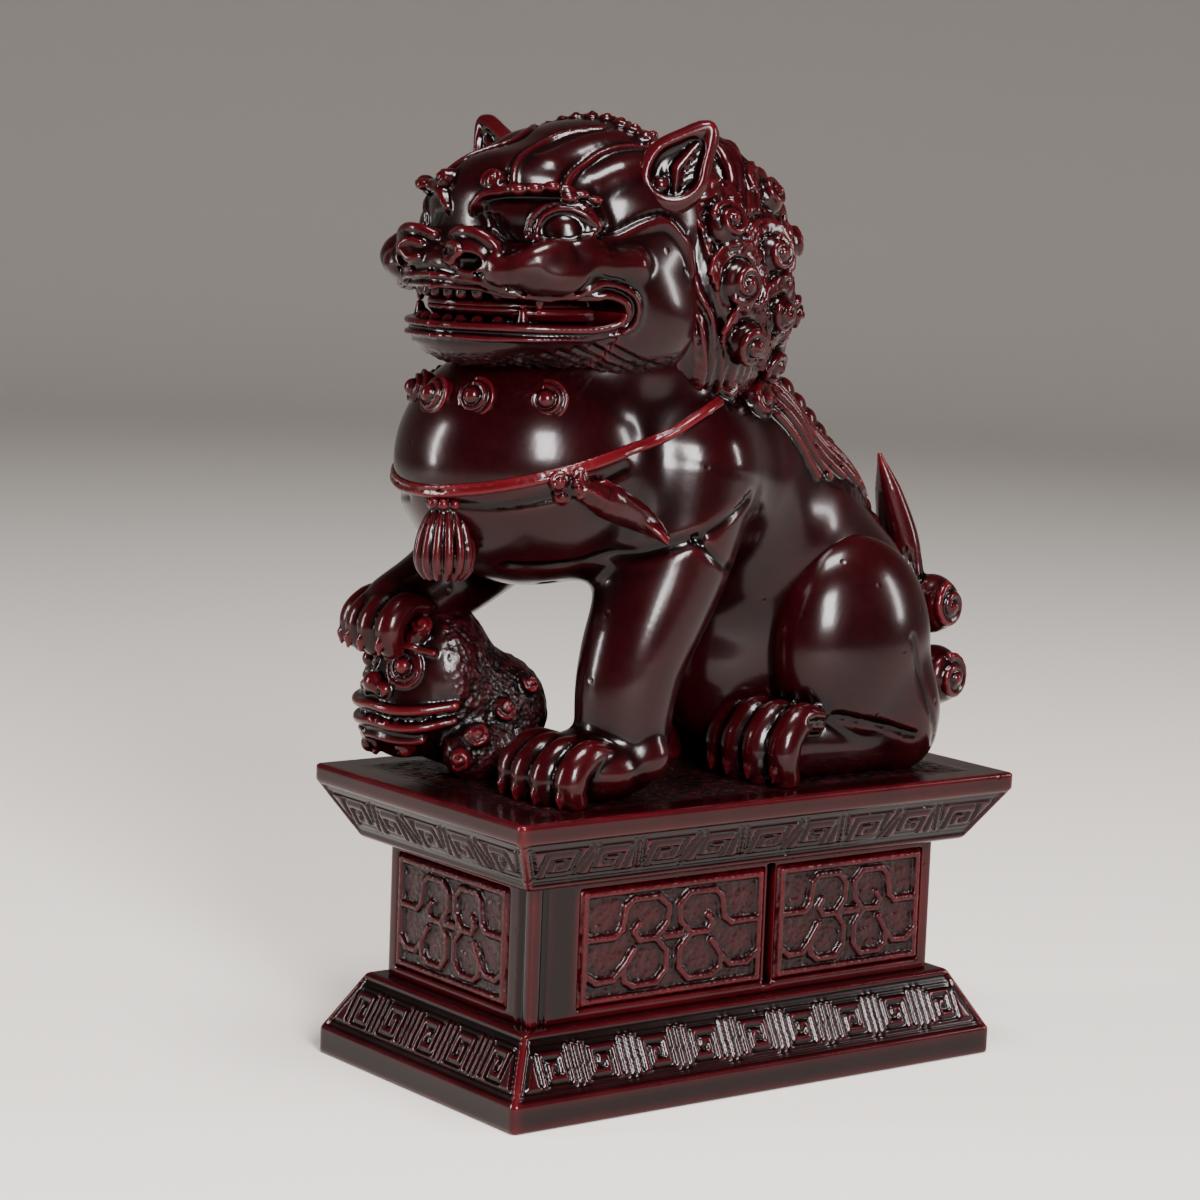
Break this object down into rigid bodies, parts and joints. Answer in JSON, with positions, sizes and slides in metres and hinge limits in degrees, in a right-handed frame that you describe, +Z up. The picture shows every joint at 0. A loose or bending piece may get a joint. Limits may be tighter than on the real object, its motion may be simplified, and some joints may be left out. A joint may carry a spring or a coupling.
{
  "type": "guardian lion figurine",
  "caption": "Seated guardian lion with a cub under one forepaw, on an oblong plinth with fret borders and relief panels, in dark red lacquered resin.",
  "frame": {"origin": "centre of the plinth's underside", "axes": "+Z up; the lion faces -Y and its left flank is towards +X"},
  "size_m": [0.049, 0.096, 0.1295],
  "materials": {
    "lacquered_resin": "dark red lacquer over cast resin, black in the recesses, glossy",
    "felt": "matte"
  },
  "bodies": {
    "root": {"base_felt": "felt", "beard_curl_left_inner": "lacquered_resin", "beard_curl_left_outer": "lacquered_resin", "beard_curl_middle": "lacquered_resin", "beard_curl_right_inner": "lacquered_resin", "beard_curl_right_outer": "lacquered_resin", "bell": "lacquered_resin", "collar_cord": "lacquered_resin", "cub": "lacquered_resin", "front_panel": "lacquered_resin", "head": "lacquered_resin", "left_ear": "lacquered_resin", "left_foreleg": "lacquered_resin", "left_front_panel": "lacquered_resin", "left_hind_leg": "lacquered_resin", "left_rear_panel": "lacquered_resin", "left_tassel": "lacquered_resin", "lower_jaw": "lacquered_resin", "mane": "lacquered_resin", "plinth_cap": "lacquered_resin", "plinth_foot": "lacquered_resin", "plinth_waist": "lacquered_resin", "rear_panel": "lacquered_resin", "right_ear": "lacquered_resin", "right_foreleg": "lacquered_resin", "right_front_panel": "lacquered_resin", "right_hind_leg": "lacquered_resin", "right_rear_panel": "lacquered_resin", "right_tassel": "lacquered_resin", "tail": "lacquered_resin", "tongue": "lacquered_resin", "torso": "lacquered_resin"}
  },
  "joints": []
}
